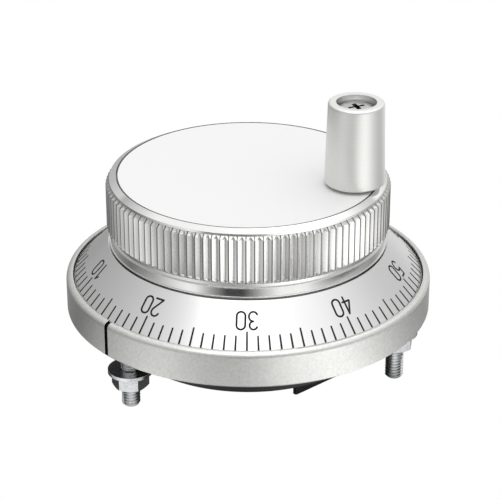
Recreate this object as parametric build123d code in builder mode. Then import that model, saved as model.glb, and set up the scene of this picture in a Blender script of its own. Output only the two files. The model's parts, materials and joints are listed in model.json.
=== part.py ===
from build123d import *

# Pulse generator handwheel. A bezel bolts over a control panel's cut-out by three studs. A knurled
# handwheel with a graduated dial and a crank handle turns on a shaft in two ball bearings, clicks
# over 100 magnetic detents, and a slotted disc on the same shaft is read by an optical sensor.
# Millimetres. Z = 0 is the panel's front face, +Z points to the operator, +Y is the index mark.

import os
from math import cos, hypot, radians, sin, tan

# ---- Fits: the play that each name describes, radial unless it says otherwise ----
tight_gap = 0.01  # pieces held fast on the same body
thread_gap = 0.02  # a screw in its thread, both drawn as plain cylinders
hole_gap = 0.05  # a screw or a pin in a plain hole
run_gap = 0.05  # the handle's bush on its sleeve
head_gap = 0.15  # a screw's head in its counterbore
dial_gap = 0.25  # the dial in the bezel
detent_gap = 0.25  # across the magnetic teeth
bore_gap = 0.1  # the handwheel's bore round the detent ring's radius
dial_head_gap = 0.59  # the dial screws' heads beside the dial's skirt
race_gap = 0.03  # a ball in its races
cage_gap = 0.05  # a ball in its cage
handle_play = 0.1  # the handle between its washers, end to end
groove_play = 0.02  # the clip in its groove, end to end

# ---- Bezel ----
bezel_wall = 1.5
bezel_height = 7.9
bezel_floor = 4.0
bezel_lip = 2.4  # the floor inside the cover screws' circle
bezel_round = 1.3
bezel_chamfer = 0.4
index_angle = 90.0
index_width = 1.0
index_depth = 0.35

# ---- Rear cover, the spigot that goes through the panel's cut-out ----
body_r = 28.0
body_clear = 0.15  # inside it, under the circuit board's screws
body_wall = 1.6
body_floor = 1.6
body_rebate = 0.5
body_chamfer = 0.3
body_boss_r = 2.0
cover_screw_inset = 2.6

# ---- Mounting studs, with their nuts and washers run part of the way on ----
stud_count = 3
washer_clear = 1.0  # the studs' washers beside the rear cover
stud_reach = 13.7
stud_root = 3.2
stud_r = 2.0
stud_pitch_r = 1.77  # drawn at its pitch radius where a nut or the bezel is on the thread
stud_mouth_r = 2.15
stud_mouth_depth = 0.3
stud_chamfer = 0.6
nut_flats = 7.0
nut_height = 3.2
nut_bevel_angle = 30.0
nut_bevel_reach = 0.5
nut_tops = (-5.8, -3.0, -4.4)
nut_turns = (44.0, 10.0, 25.0)
washer_r = 4.8
washer_hole_r = 2.15
washer_thick = 0.8

# ---- Bearings, 6 x 13 x 5, and the plate that carries them ----
shaft_r = 3.0
bearing_outer_r = 6.5
bearing_width = 5.0
rear_bearing_z = 1.4
front_bearing_z = 10.8
bearing_proud = 0.2
race_wall = 1.05
ball_r = 1.0
ball_count = 8
cage_wall = 0.8
cage_height = 2.6
hub_r = 9.0
hub_skirt = 0.2
hub_lip = 1.1
plate_proud = 1.0  # past the handwheel's radius
plate_screw_inset = 2.9
plate_screw_turn = 30.0  # from the index mark, clear of the studs and the cover's screws
plate_thick = 2.5
plate_step_r = 17.5
plate_step = 1.9

# ---- Magnetic detent: 100 teeth on the dial face 100 teeth on the plate ----
detent_count = 100
detent_r = 20.0
detent_depth = 0.7
detent_tip_share = 0.4
detent_root_share = 0.3
detent_ring_wall = 3.2
detent_ring_thick = 2.8
stator_thick = 2.4
magnet_r = 17.0
magnet_thick = 2.0

# ---- Shaft ----
shaft_low = -2.8
shaft_high = 25.2
shaft_chamfer = 0.3
shaft_flat = 2.5
collar_r = 4.0
collar_thick = 1.0
shim_r = 4.0
shim_thick = 0.4
clip_thick = 0.6
clip_r = 5.0
clip_groove = 0.6
clip_mouth = 3.4

# ---- Dial ----
cone_run = 7.65
dial_edge_z = 7.3
dial_low = 5.0
dial_lip = 1.65
dial_top_proud = 0.6  # past the handwheel's radius
dial_top_z = 15.25
dial_wall = 1.8
dial_land = 1.4
flange_thick = 3.0
flange_wall = 1.95
spigot_height = 1.6
skirt_wall = 1.25
skirt_reach = 0.4

# ---- Handwheel ----
knob_low = 15.6
knob_high = 30.65
knob_wall = 2.0  # outside the dial screws' circle
lip_proud = 0.3
lip_height = 0.2
neck_proud = 0.15
neck_top = 17.85
land_inset = 0.05
knurl_depth = 0.76
knurl_low = 18.73
knurl_high = 29.43
knurl_count = 108
knurl_phase = 0.6
knurl_tip_share = 0.11
rim_z = 29.95
rim_width = 1.45
web_low = 26.4
boss_r = 9.0
boss_bore_end = 25.4
disc_thick = 0.55
disc_recess = 0.6
disc_gap = 0.1

# ---- Crank handle ----
handle_inset = 6.55
handle_angle = 212.7
handle_low = 31.2
handle_high = 49.3
handle_low_r = 6.48
handle_high_r = 5.97
handle_chamfer = 0.3
handle_round = 0.6
well_r = 4.3
well_depth = 5.05
sleeve_r = 3.0
bush_wall = 0.75
bush_inset = 0.1
handle_boss_r = 5.0
handle_boss_depth = 6.8
base_washer_r = 4.6
head_washer_r = 4.15
head_washer_thick = 0.8

# ---- Screws: thread radius, head radius, head height, length under the head ----
hub_screw_size = (2.0, 3.9, 2.4, 12.0)
handle_screw_size = (2.0, 3.9, 2.6, 25.0)
dial_screw_size = (1.25, 2.25, 1.5, 8.0)
plate_screw_size = (1.5, 2.75, 2.0, 5.0)
cover_screw_size = (1.0, 1.9, 1.3, 10.0)
board_screw_size = (1.0, 1.9, 1.3, 11.0)
disc_screw_size = (1.25, 2.4, 1.5, 5.0)
terminal_screw_size = (1.5, 2.7, 1.5, 1.9)
screw_count = 3
screw_spare = 0.3  # a blind tapped hole runs this far past its screw
screw_point = 0.3
head_bevel = 0.4
drive_width = 0.8  # the slot or cross in a head, with its depth and its length over the head's radius
drive_depth = 0.8
drive_share = 1.2
hub_screw_sunk = 2.75
cover_screw_sunk = 1.5

# ---- Encoder ----
spacer_r = 2.2
board_clear = 2.1  # the board inside the cover's wall
board_screw_inset = 3.8
board_top = -3.4
board_thick = 1.6
board_bore_r = 5.2
board_notch_gap = 0.3
disc_hub_r = 5.0
disc_hub_low = -3.0
disc_flange_r = 8.0
disc_seat = -1.0
code_disc_thick = 0.3
code_circle_inset = 1.8
code_slot_length = 2.4
code_slot_width = 0.5
disc_washer_r = 4.2
disc_washer_thick = 0.4
sensor_clear = 1.2  # the fork inside the bezel's bore
sensor_length = 7.9
sensor_bite = 3.9  # of the slotted disc
sensor_width = 9.0
sensor_high = 1.6
sensor_mouth = 4.7
sensor_mouth_height = 1.8
eye_r = 1.25
eye_length = 1.2
chip_length = 9.0
chip_width = 4.0
chip_height = 1.3
chip_inset = 11.3  # its middle from the board's edge

# ---- Terminal block ----
ways = 6
way_pitch = 7.62
fin_thick = 0.9
block_width = 14.3
block_base = 1.55
block_height = 3.95
block_back = 1.0
block_round = 0.4
tab_width = 6.2
tab_front = 4.0
tab_rear = -5.9
tab_thick = 0.8
pin_r = 0.5
pin_y = -5.2
pin_proud = 0.4

# ---- Radii that follow, from the detent outwards ----
ring_r = detent_r + detent_depth + detent_ring_wall
skirt_r = ring_r + tight_gap
knob_bore_r = ring_r + bore_gap
spigot_r = knob_bore_r - hole_gap
flange_inner_r = spigot_r - flange_wall
dial_screw_circle_r = skirt_r + skirt_wall + dial_head_gap + dial_screw_size[1]
knob_r = dial_screw_circle_r + knob_wall
land_r = knob_r - land_inset
neck_r = knob_r + neck_proud
lip_r = knob_r + lip_proud
knurl_tip_r = knob_r + knurl_depth
rim_inner_r = land_r - rim_width
handle_circle_r = knob_r - handle_inset
dial_top_r = knob_r + dial_top_proud
dial_land_r = dial_top_r - dial_land
dial_r = dial_top_r + cone_run
recess_r = dial_r + dial_gap
bezel_r = recess_r + bezel_wall
plate_r = knob_r + plate_proud
plate_screw_circle_r = plate_r - plate_screw_inset
race_circle_r = (shaft_r + bearing_outer_r) / 2

# ---- Radii that follow from the rear cover, outwards and inwards ----
stud_circle_r = body_r + washer_clear + washer_r
cover_screw_circle_r = body_r - cover_screw_inset
bezel_bore_r = cover_screw_circle_r - bezel_lip
board_r = body_r - body_wall - board_clear
board_screw_circle_r = board_r - board_screw_inset
chip_y = chip_inset - board_r
sensor_outer = bezel_bore_r - sensor_clear
sensor_inner = sensor_outer - sensor_length
code_disc_r = sensor_inner + sensor_bite
code_circle_r = code_disc_r - code_circle_inset

# ---- Heights that follow ----
plate_top = bezel_floor + plate_thick
magnet_low = plate_top + plate_step
stator_low = magnet_low + magnet_thick
ring_low = stator_low + (stator_thick - detent_ring_thick) / 2
ring_seat = ring_low + detent_ring_thick
collar_low = front_bearing_z + bearing_width
collar_high = collar_low + collar_thick
hub_low = rear_bearing_z - hub_skirt
hub_high = collar_low - bearing_proud
shim_low = rear_bearing_z - shim_thick
clip_low = shim_low - clip_thick
flange_low = knob_low - flange_thick
disc_floor = knob_high - disc_recess
hub_screw_seat = disc_floor - hub_screw_sunk
board_low = board_top - board_thick
body_inside = board_low - board_screw_size[2] - body_clear
body_low = body_inside - body_floor
cover_screw_seat = body_low + cover_screw_sunk
disc_washer_low = disc_hub_low - disc_washer_thick
mouth_middle = disc_seat - code_disc_thick / 2
block_low = body_low - block_height
bay_floor = body_low - block_base
tab_low = bay_floor - tab_thick
well_floor = handle_high - well_depth
base_washer_high = handle_low - handle_play
head_washer_low = well_floor + handle_play
handle_screw_seat = head_washer_low + head_washer_thick


def polar(radius, angle):
    """The point at a radius and an angle in degrees."""
    return radius * cos(radians(angle)), radius * sin(radians(angle))


def spread(radius, count, start):
    """Points evenly spaced on a circle, the first one at the start angle."""
    return [polar(radius, start + step * 360 / count) for step in range(count)]


handle_at = polar(handle_circle_r, handle_angle)
stud_places = spread(stud_circle_r, stud_count, index_angle)
plate_screw_places = spread(plate_screw_circle_r, screw_count, index_angle + plate_screw_turn)
cover_screw_places = spread(cover_screw_circle_r, screw_count, index_angle + 180)
board_screw_places = spread(board_screw_circle_r, screw_count, index_angle + 90)
dial_screw_places = spread(dial_screw_circle_r, screw_count, handle_angle + 60)
way_places = [((way - (ways - 1) / 2) * way_pitch, 0) for way in range(ways)]
pin_places = [(x, pin_y) for x, y in way_places]


# ---- Helpers, which work on the part in whose block they are called ----
def turn(*points, at=(0, 0), mode=Mode.ADD):
    """Turn an outline of (radius, height) points once round the upright axis through at."""
    with BuildSketch(Plane.XZ) as section:
        with BuildLine():
            Polyline(*points, close=True)
        make_face()
    placed = section.sketch.moved(Location((*at, 0)))
    revolve(placed, axis=Axis((*at, 0), (0, 0, 1)), mode=mode)


def rods(places, radius, low, high, mode=Mode.ADD):
    """Upright cylinders at places, or the holes for them."""
    with BuildSketch(Plane.XY.offset(low)) as ends:
        with Locations(*places):
            Circle(radius)
    extrude(ends.sketch, amount=high - low, mode=mode)


def tubes(places, inner_r, outer_r, low, high):
    """Upright rings at places."""
    with BuildSketch(Plane.XY.offset(low)) as ends:
        with Locations(*places):
            Circle(outer_r)
            Circle(inner_r, mode=Mode.SUBTRACT)
    extrude(ends.sketch, amount=high - low)


def block(x_range, y_range, z_range, mode=Mode.ADD):
    """A box between two limits along each axis."""
    sizes = [high - low for low, high in (x_range, y_range, z_range)]
    middle = [(low + high) / 2 for low, high in (x_range, y_range, z_range)]
    with Locations(tuple(middle)):
        Box(*sizes, mode=mode)


def screws(places, size, seat, way, cross=True):
    """Upright screws at places. Their threads point up (way 1) or down (way -1) from the seat."""
    thread_r, head_r, head_height, length = size
    crown = seat - way * head_height
    tip = seat + way * length
    for place in places:
        turn((0, crown), (head_r - head_bevel, crown), (head_r, crown + way * head_bevel), (head_r, seat),
             (thread_r, seat), (thread_r, tip - way * screw_point), (thread_r - screw_point, tip), (0, tip),
             at=place)
    with Locations(*[(x, y, crown) for x, y in places]):
        Box(head_r * drive_share, drive_width, 2 * drive_depth, mode=Mode.SUBTRACT)
        if cross:
            Box(drive_width, head_r * drive_share, 2 * drive_depth, mode=Mode.SUBTRACT)


def teeth(tip_r, root_r, count, tip_share, root_share=0.0, phase=0.0):
    """Corner points of a toothed circle. The shares are the flat parts of each pitch."""
    pitch = 360 / count
    corners = []
    for tooth in range(count):
        middle = phase + tooth * pitch
        valley = middle + pitch / 2
        corners += [polar(tip_r, middle + side * pitch * tip_share / 2) for side in (-1, 1)]
        if root_share:
            corners += [polar(root_r, valley + side * pitch * root_share / 2) for side in (-1, 1)]
        else:
            corners.append(polar(root_r, valley))
    return corners


def flatted_bar(radius, flat, low, high, mode):
    """An upright round bar with one flat, or the hole for it."""
    with BuildSketch(Plane.XY.offset(low)) as end:
        Circle(radius)
        with Locations((flat, 0)):
            Rectangle(radius, 2 * radius, align=(Align.MIN, Align.CENTER), mode=Mode.SUBTRACT)
    extrude(end.sketch, amount=high - low, mode=mode)


def save(piece, name):
    """Label a finished piece and write it to its own file."""
    piece.part.label = name
    export_step(piece.part, f"parts/{name}.step")


os.makedirs("parts", exist_ok=True)

# ======== Fixed side ========

with BuildPart() as bezel_ring:
    with BuildSketch(Plane.XZ) as bezel_section:
        with BuildLine():
            Polyline((bezel_bore_r, body_rebate), (body_r + hole_gap, body_rebate), (body_r + hole_gap, 0),
                     (bezel_r, 0), (bezel_r, bezel_height), (recess_r, bezel_height),
                     (recess_r, bezel_floor), (bezel_bore_r, bezel_floor), close=True)
        make_face()
        wall_corners = bezel_section.vertices().group_by(Axis.X)[-1].sort_by(Axis.Y)
        chamfer(wall_corners[0], bezel_chamfer)
        fillet(wall_corners[-1], bezel_round)
    revolve(axis=Axis.Z)
    # tapped holes: the studs' with an opened mouth, the bearing plate's from the front, the cover's behind
    rods(stud_places, stud_pitch_r + thread_gap, 0, stud_root + screw_spare, mode=Mode.SUBTRACT)
    for place in stud_places:
        turn((0, 0), (stud_mouth_r, 0), (stud_pitch_r, stud_mouth_depth), (0, stud_mouth_depth),
             at=place, mode=Mode.SUBTRACT)
    rods(plate_screw_places, plate_screw_size[0] + thread_gap, plate_top - plate_screw_size[3] - screw_spare,
         bezel_floor, mode=Mode.SUBTRACT)
    rods(cover_screw_places, cover_screw_size[0] + thread_gap, body_rebate,
         cover_screw_seat + cover_screw_size[3] + screw_spare, mode=Mode.SUBTRACT)
    # the index mark is a groove of even depth over the rim and down the wall
    index_plane = Plane((0, 0, 0), x_dir=(*polar(1, index_angle), 0), z_dir=(*polar(1, index_angle - 90), 0))
    with BuildSketch(index_plane) as index_groove:
        with BuildLine():
            Polyline((dial_r, bezel_height - index_depth),
                     (bezel_r - index_depth, bezel_height - index_depth), (bezel_r - index_depth, -1),
                     (bezel_r + 1, -1), (bezel_r + 1, bezel_height + 1), (dial_r, bezel_height + 1),
                     close=True)
        make_face()
        inner_corner = index_groove.vertices().group_by(Axis.X)[1].sort_by(Axis.Y)[-1]
        fillet(inner_corner, bezel_round - index_depth)
    extrude(amount=index_width / 2, both=True, mode=Mode.SUBTRACT)
save(bezel_ring, "bezel_ring")

with BuildPart() as mounting_studs:
    for place, nut_top in zip(stud_places, nut_tops):
        turn((0, -stud_reach), (stud_r - stud_chamfer, -stud_reach), (stud_r, stud_chamfer - stud_reach),
             (stud_r, nut_top - nut_height), (stud_pitch_r, nut_top - nut_height),
             (stud_pitch_r, nut_top + washer_thick), (stud_r, nut_top + washer_thick), (stud_r, 0),
             (stud_pitch_r, 0), (stud_pitch_r, stud_root), (0, stud_root), at=place)
save(mounting_studs, "mounting_studs")

with BuildPart() as stud_nuts:
    nut_corner_r = nut_flats / 2 / cos(radians(30))
    for place, nut_top, nut_turn in zip(stud_places, nut_tops, nut_turns):
        nut_low = nut_top - nut_height
        with BuildSketch(Plane.XY.offset(nut_low)) as hexagon:
            with Locations(place):
                RegularPolygon(nut_corner_r, 6, rotation=nut_turn)
                Circle(stud_pitch_r + thread_gap, mode=Mode.SUBTRACT)
        extrude(hexagon.sketch, amount=nut_height)
        # both ends are bevelled, so that only the middle of each flat reaches them
        rim_r = nut_corner_r + nut_bevel_reach
        rise = (rim_r - nut_flats / 2) * tan(radians(nut_bevel_angle))
        for end, way in ((nut_low, 1), (nut_top, -1)):
            turn((nut_flats / 2, end), (rim_r, end), (rim_r, end + way * rise), at=place, mode=Mode.SUBTRACT)
save(stud_nuts, "stud_nuts")

with BuildPart() as stud_washers:
    for place, nut_top in zip(stud_places, nut_tops):
        tubes([place], washer_hole_r, washer_r, nut_top, nut_top + washer_thick)
save(stud_washers, "stud_washers")

with BuildPart() as bearing_plate:
    turn((bearing_outer_r - hub_lip, hub_low), (hub_r, hub_low), (hub_r, bezel_floor), (plate_r, bezel_floor),
         (plate_r, plate_top), (plate_step_r, plate_top), (plate_step_r, magnet_low), (hub_r, magnet_low),
         (hub_r, hub_high), (bearing_outer_r - hub_lip, hub_high))
    rods([(0, 0)], bearing_outer_r, hub_low, rear_bearing_z + bearing_width, mode=Mode.SUBTRACT)
    rods([(0, 0)], bearing_outer_r, front_bearing_z, hub_high, mode=Mode.SUBTRACT)
    rods(plate_screw_places, plate_screw_size[0] + hole_gap, bezel_floor, plate_top, mode=Mode.SUBTRACT)
    rods(board_screw_places, board_screw_size[0] + thread_gap, bezel_floor,
         board_low + board_screw_size[3] + screw_spare, mode=Mode.SUBTRACT)
save(bearing_plate, "bearing_plate")

with BuildPart() as plate_screws:
    screws(plate_screw_places, plate_screw_size, plate_top, -1)
save(plate_screws, "plate_screws")

with BuildPart() as detent_magnet:
    tubes([(0, 0)], hub_r + hole_gap, magnet_r, magnet_low, stator_low)
save(detent_magnet, "detent_magnet")

with BuildPart() as detent_stator:
    with BuildSketch(Plane.XY.offset(stator_low)):
        with BuildLine():
            Polyline(*teeth(detent_r - detent_gap, detent_r - detent_gap - detent_depth, detent_count,
                            detent_tip_share, detent_root_share), close=True)
        make_face()
        Circle(hub_r + hole_gap, mode=Mode.SUBTRACT)
    extrude(amount=stator_thick)
save(detent_stator, "detent_stator")

bearings = {"front": front_bearing_z, "rear": rear_bearing_z}
for end, low in bearings.items():
    middle = low + bearing_width / 2
    outer_middle_r = bearing_outer_r - tight_gap - race_wall / 2
    inner_middle_r = shaft_r + tight_gap + race_wall / 2
    for side, race_middle_r in (("outer", outer_middle_r), ("inner", inner_middle_r)):
        with BuildPart() as race:
            with BuildSketch(Plane.XZ):
                with Locations((race_middle_r, middle)):
                    Rectangle(race_wall, bearing_width)
                with Locations((race_circle_r, middle)):
                    Circle(ball_r + race_gap, mode=Mode.SUBTRACT)
            revolve(axis=Axis.Z)
        save(race, f"{end}_{side}_race")

    with BuildPart() as bearing_balls:
        with Locations((0, 0, middle)):
            with PolarLocations(race_circle_r, ball_count):
                Sphere(ball_r)
    save(bearing_balls, f"{end}_bearing_balls")

    with BuildPart() as bearing_cage:
        tubes([(0, 0)], race_circle_r - cage_wall / 2, race_circle_r + cage_wall / 2,
              middle - cage_height / 2, middle + cage_height / 2)
        with Locations((0, 0, middle)):
            with PolarLocations(race_circle_r, ball_count):
                Cylinder(ball_r + cage_gap, 2 * cage_wall, rotation=(0, 90, 0), mode=Mode.SUBTRACT)
    save(bearing_cage, f"{end}_bearing_cage")

with BuildPart() as board_spacers:
    tubes(board_screw_places, board_screw_size[0] + hole_gap, spacer_r, board_top, bezel_floor)
save(board_spacers, "board_spacers")

with BuildPart() as circuit_board:
    with BuildSketch(Plane.XY.offset(board_low)):
        Circle(board_r)
        Circle(board_bore_r, mode=Mode.SUBTRACT)
        with Locations(*cover_screw_places):
            Circle(body_boss_r + board_notch_gap, mode=Mode.SUBTRACT)
        with Locations(*board_screw_places):
            Circle(board_screw_size[0] + hole_gap, mode=Mode.SUBTRACT)
        with Locations(*pin_places):
            Circle(pin_r + hole_gap, mode=Mode.SUBTRACT)
    extrude(amount=board_thick)
save(circuit_board, "circuit_board")

with BuildPart() as board_screws:
    screws(board_screw_places, board_screw_size, board_low, 1)
save(board_screws, "board_screws")

# the encoder's fork, with a light above the slotted disc's gap and a sensor below it
mouth_high = mouth_middle + sensor_mouth_height / 2
mouth_low = mouth_middle - sensor_mouth_height / 2
eye_places = [(code_circle_r, 0)]
with BuildPart() as sensor_housing:
    sensor_sides = (-sensor_width / 2, sensor_width / 2)
    block((sensor_inner, sensor_outer), sensor_sides, (board_top, sensor_high))
    block((sensor_inner, sensor_inner + sensor_mouth), sensor_sides, (mouth_low, mouth_high),
          mode=Mode.SUBTRACT)
    rods(eye_places, eye_r + tight_gap, mouth_low - eye_length, mouth_high + eye_length, mode=Mode.SUBTRACT)
save(sensor_housing, "sensor_housing")

with BuildPart() as emitter:
    rods(eye_places, eye_r, mouth_high, mouth_high + eye_length)
save(emitter, "emitter")

with BuildPart() as detector:
    rods(eye_places, eye_r, mouth_low - eye_length, mouth_low)
save(detector, "detector")

with BuildPart() as signal_chip:
    block((-chip_length / 2, chip_length / 2), (chip_y - chip_width / 2, chip_y + chip_width / 2),
          (board_top, board_top + chip_height))
save(signal_chip, "signal_chip")

with BuildPart() as rear_cover:
    inner_r = body_r - body_wall
    turn((0, body_low), (body_r - body_chamfer, body_low), (body_r, body_low + body_chamfer), (body_r, 0),
         (body_r - body_rebate, body_rebate), (inner_r, body_rebate), (inner_r, body_inside),
         (0, body_inside))
    rods(cover_screw_places, body_boss_r, body_inside, body_rebate)
    rods(cover_screw_places, cover_screw_size[1] + head_gap, body_low, cover_screw_seat, mode=Mode.SUBTRACT)
    rods(cover_screw_places, cover_screw_size[0] + hole_gap, cover_screw_seat, body_rebate,
         mode=Mode.SUBTRACT)
    rods(pin_places, pin_r + hole_gap, body_low, body_inside, mode=Mode.SUBTRACT)
save(rear_cover, "rear_cover")

with BuildPart() as cover_screws:
    screws(cover_screw_places, cover_screw_size, cover_screw_seat, 1)
save(cover_screws, "cover_screws")

# a strip of open bays between thin fins, each with a clamping tab and a screw
with BuildPart() as terminal_block:
    with BuildSketch(Plane.XY.offset(block_low)):
        RectangleRounded(ways * way_pitch + fin_thick, block_width, block_round)
    extrude(amount=block_height)
    bay_half = (way_pitch - fin_thick) / 2
    for x, y in way_places:
        block((x - bay_half, x + bay_half), (block_back - block_width / 2, block_width),
              (block_low, bay_floor), mode=Mode.SUBTRACT)
    rods(way_places, terminal_screw_size[0] + thread_gap, bay_floor,
         tab_low + terminal_screw_size[3] + screw_spare, mode=Mode.SUBTRACT)
    rods(pin_places, pin_r + hole_gap, bay_floor, body_low, mode=Mode.SUBTRACT)
save(terminal_block, "terminal_block")

with BuildPart() as terminal_plates:
    for x, y in way_places:
        block((x - tab_width / 2, x + tab_width / 2), (tab_rear, tab_front), (tab_low, bay_floor))
    rods(way_places, terminal_screw_size[0] + hole_gap, tab_low, bay_floor, mode=Mode.SUBTRACT)
save(terminal_plates, "terminal_plates")

with BuildPart() as terminal_screws:
    screws(way_places, terminal_screw_size, tab_low, 1, cross=False)
save(terminal_screws, "terminal_screws")

with BuildPart() as terminal_pins:
    rods(pin_places, pin_r, bay_floor, board_top + pin_proud)
save(terminal_pins, "terminal_pins")

# ======== Turning side ========

with BuildPart() as handwheel:
    # the knurled band: straight V ridges, run out at 45 degrees at both ends
    with BuildSketch(Plane.XY.offset(knurl_low)):
        with BuildLine():
            Polyline(*teeth(knurl_tip_r, knob_r, knurl_count, knurl_tip_share, phase=knurl_phase),
                     close=True)
        make_face()
    extrude(amount=knurl_high - knurl_low)
    run_out = knurl_tip_r - land_r
    turn((0, knurl_low), (land_r, knurl_low), (knurl_tip_r, knurl_low + run_out),
         (knurl_tip_r, knurl_high - run_out), (land_r, knurl_high), (0, knurl_high), mode=Mode.INTERSECT)
    # the cup, hollow below its web, with the shaft's boss and the handle's boss inside
    turn((0, web_low), (knob_bore_r, web_low), (knob_bore_r, knob_low), (lip_r, knob_low),
         (lip_r, knob_low + lip_height), (neck_r, knob_low + lip_height), (neck_r, neck_top - lip_height),
         (lip_r, neck_top - lip_height), (lip_r, neck_top), (land_r, neck_top), (land_r, rim_z),
         (rim_inner_r, knob_high), (rim_inner_r, disc_floor), (0, disc_floor))
    rods([(0, 0)], knob_bore_r, knob_low, web_low, mode=Mode.SUBTRACT)
    rods([(0, 0)], boss_r, collar_high, web_low)
    rods([handle_at], handle_boss_r, web_low - handle_boss_depth, web_low)
    flatted_bar(shaft_r + tight_gap, shaft_flat + tight_gap, collar_high, boss_bore_end, Mode.SUBTRACT)
    rods([(0, 0)], hub_screw_size[0] + head_gap, boss_bore_end, hub_screw_seat, mode=Mode.SUBTRACT)
    rods([(0, 0)], hub_screw_size[1] + 2 * head_gap, hub_screw_seat, disc_floor, mode=Mode.SUBTRACT)
    rods([handle_at], handle_screw_size[0] + thread_gap, web_low - handle_boss_depth, disc_floor,
         mode=Mode.SUBTRACT)
    rods(dial_screw_places, dial_screw_size[0] + thread_gap, knob_low,
         flange_low + dial_screw_size[3] + screw_spare, mode=Mode.SUBTRACT)
save(handwheel, "handwheel")

with BuildPart() as face_disc:
    rods([(0, 0)], rim_inner_r - disc_gap, disc_floor, disc_floor + disc_thick)
    rods([handle_at], base_washer_r + disc_gap, disc_floor, disc_floor + disc_thick, mode=Mode.SUBTRACT)
save(face_disc, "face_disc")

with BuildPart() as hub_screw:
    screws([(0, 0)], hub_screw_size, hub_screw_seat, -1)
save(hub_screw, "hub_screw")

with BuildPart() as dial_ring:
    # the graduated cone is a shell of even wall, with a flange and a spigot that centre it in the handwheel
    cone_drop = dial_top_z - dial_edge_z
    wall_z = dial_wall * hypot(cone_run, cone_drop) / cone_run
    lip_inner_r = dial_r - dial_lip
    lip_z = dial_edge_z + dial_lip * cone_drop / cone_run - wall_z
    shell_r = dial_top_r + (dial_top_z - wall_z - flange_low) * cone_run / cone_drop
    turn((flange_inner_r, ring_seat), (skirt_r, ring_seat), (skirt_r, ring_low - skirt_reach),
         (skirt_r + skirt_wall, ring_low - skirt_reach), (skirt_r + skirt_wall, flange_low),
         (shell_r, flange_low), (lip_inner_r, lip_z), (lip_inner_r, dial_low), (dial_r, dial_low),
         (dial_r, dial_edge_z), (dial_top_r, dial_top_z), (dial_land_r, dial_top_z), (dial_land_r, knob_low),
         (spigot_r, knob_low), (spigot_r, knob_low + spigot_height),
         (flange_inner_r, knob_low + spigot_height))
    rods(dial_screw_places, dial_screw_size[0] + hole_gap, flange_low, knob_low, mode=Mode.SUBTRACT)
save(dial_ring, "dial_ring")

with BuildPart() as dial_screws:
    screws(dial_screw_places, dial_screw_size, flange_low, 1)
save(dial_screws, "dial_screws")

with BuildPart() as detent_ring:
    with BuildSketch(Plane.XY.offset(ring_low)):
        Circle(ring_r)
        with BuildLine():
            Polyline(*teeth(detent_r, detent_r + detent_depth, detent_count, detent_tip_share,
                            detent_root_share), close=True)
        make_face(mode=Mode.SUBTRACT)
    extrude(amount=detent_ring_thick)
save(detent_ring, "detent_ring")

with BuildPart() as shaft:
    groove_r = shaft_r - clip_groove
    turn((0, shaft_low), (shaft_r - shaft_chamfer, shaft_low), (shaft_r, shaft_low + shaft_chamfer),
         (shaft_r, clip_low - groove_play), (groove_r, clip_low - groove_play),
         (groove_r, shim_low + groove_play), (shaft_r, shim_low + groove_play), (shaft_r, collar_low),
         (collar_r, collar_low), (collar_r, collar_high), (shaft_r, collar_high),
         (shaft_r, shaft_high - shaft_chamfer), (shaft_r - shaft_chamfer, shaft_high), (0, shaft_high))
    block((shaft_flat, collar_r), (-collar_r, collar_r), (collar_high, shaft_high), mode=Mode.SUBTRACT)
    rods([(0, 0)], hub_screw_size[0] + thread_gap, hub_screw_seat - hub_screw_size[3] - screw_spare,
         shaft_high, mode=Mode.SUBTRACT)
    rods([(0, 0)], disc_screw_size[0] + thread_gap, shaft_low,
         disc_washer_low + disc_screw_size[3] + screw_spare, mode=Mode.SUBTRACT)
save(shaft, "shaft")

with BuildPart() as bearing_shim:
    tubes([(0, 0)], shaft_r + thread_gap, shim_r, shim_low, rear_bearing_z)
save(bearing_shim, "bearing_shim")

with BuildPart() as retaining_clip:
    tubes([(0, 0)], shaft_r - clip_groove + thread_gap, clip_r, clip_low, shim_low)
    block((0, clip_r), (-clip_mouth / 2, clip_mouth / 2), (clip_low, shim_low), mode=Mode.SUBTRACT)
save(retaining_clip, "retaining_clip")

with BuildPart() as disc_hub:
    turn((shaft_r + tight_gap, disc_hub_low), (disc_hub_r, disc_hub_low), (disc_hub_r, disc_seat),
         (disc_flange_r, disc_seat), (disc_flange_r, clip_low), (shaft_r + tight_gap, clip_low))
save(disc_hub, "disc_hub")

with BuildPart() as encoder_disc:
    with BuildSketch(Plane.XY.offset(disc_seat - code_disc_thick)):
        Circle(code_disc_r)
        Circle(disc_hub_r + thread_gap, mode=Mode.SUBTRACT)
        with PolarLocations(code_circle_r, detent_count):
            Rectangle(code_slot_length, code_slot_width, mode=Mode.SUBTRACT)
    extrude(amount=code_disc_thick)
save(encoder_disc, "encoder_disc")

with BuildPart() as disc_washer:
    tubes([(0, 0)], disc_screw_size[0] + hole_gap, disc_washer_r, disc_washer_low, disc_hub_low)
save(disc_washer, "disc_washer")

with BuildPart() as disc_screw:
    screws([(0, 0)], disc_screw_size, disc_washer_low, 1)
save(disc_screw, "disc_screw")

# ======== Crank handle and what it turns on ========

with BuildPart() as handle_base_washer:
    tubes([handle_at], handle_screw_size[0] + disc_gap, base_washer_r, disc_floor, base_washer_high)
save(handle_base_washer, "handle_base_washer")

with BuildPart() as handle_sleeve:
    tubes([handle_at], handle_screw_size[0] + disc_gap, sleeve_r, base_washer_high, head_washer_low)
save(handle_sleeve, "handle_sleeve")

with BuildPart() as handle_head_washer:
    tubes([handle_at], handle_screw_size[0] + disc_gap, head_washer_r, head_washer_low, handle_screw_seat)
save(handle_head_washer, "handle_head_washer")

with BuildPart() as handle_screw:
    screws([handle_at], handle_screw_size, handle_screw_seat, -1)
save(handle_screw, "handle_screw")

with BuildPart() as handle_bush:
    tubes([handle_at], sleeve_r + run_gap, sleeve_r + run_gap + bush_wall, handle_low + bush_inset,
          well_floor - bush_inset)
save(handle_bush, "handle_bush")

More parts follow.
